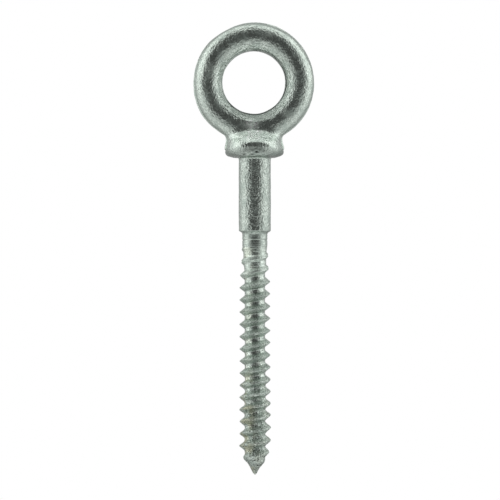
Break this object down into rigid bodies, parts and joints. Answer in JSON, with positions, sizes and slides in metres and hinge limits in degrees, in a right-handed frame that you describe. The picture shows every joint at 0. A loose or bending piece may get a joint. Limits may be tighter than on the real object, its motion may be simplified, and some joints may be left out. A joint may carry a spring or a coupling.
{
  "type": "eye bolt",
  "caption": "Forged shoulder eye bolt with a round eye, plain shank, coarse lag thread and cone point, hot-dip galvanised.",
  "frame": {"origin": "centre of the shoulder's seat, on the shank's axis", "axes": "+Z along the shank's axis from the point to the eye, +Y along the eye's hole, +X across the eye"},
  "size_m": [0.0359, 0.0176, 0.1344],
  "materials": {
    "forged_zinc": "hot-dip galvanised over a forged skin, satin, mottled and pitted",
    "shank_zinc": "hot-dip galvanised over drawn bar, satin, finely mottled",
    "thread_zinc": "hot-dip galvanised over rolled thread, satin, pooled in the lower roots"
  },
  "bodies": {
    "root": {"eye_ring": "forged_zinc", "neck": "forged_zinc", "shoulder_collar": "forged_zinc", "shank": "shank_zinc", "reduced_blank": "shank_zinc", "lag_thread": "thread_zinc", "point": "thread_zinc"}
  },
  "joints": []
}
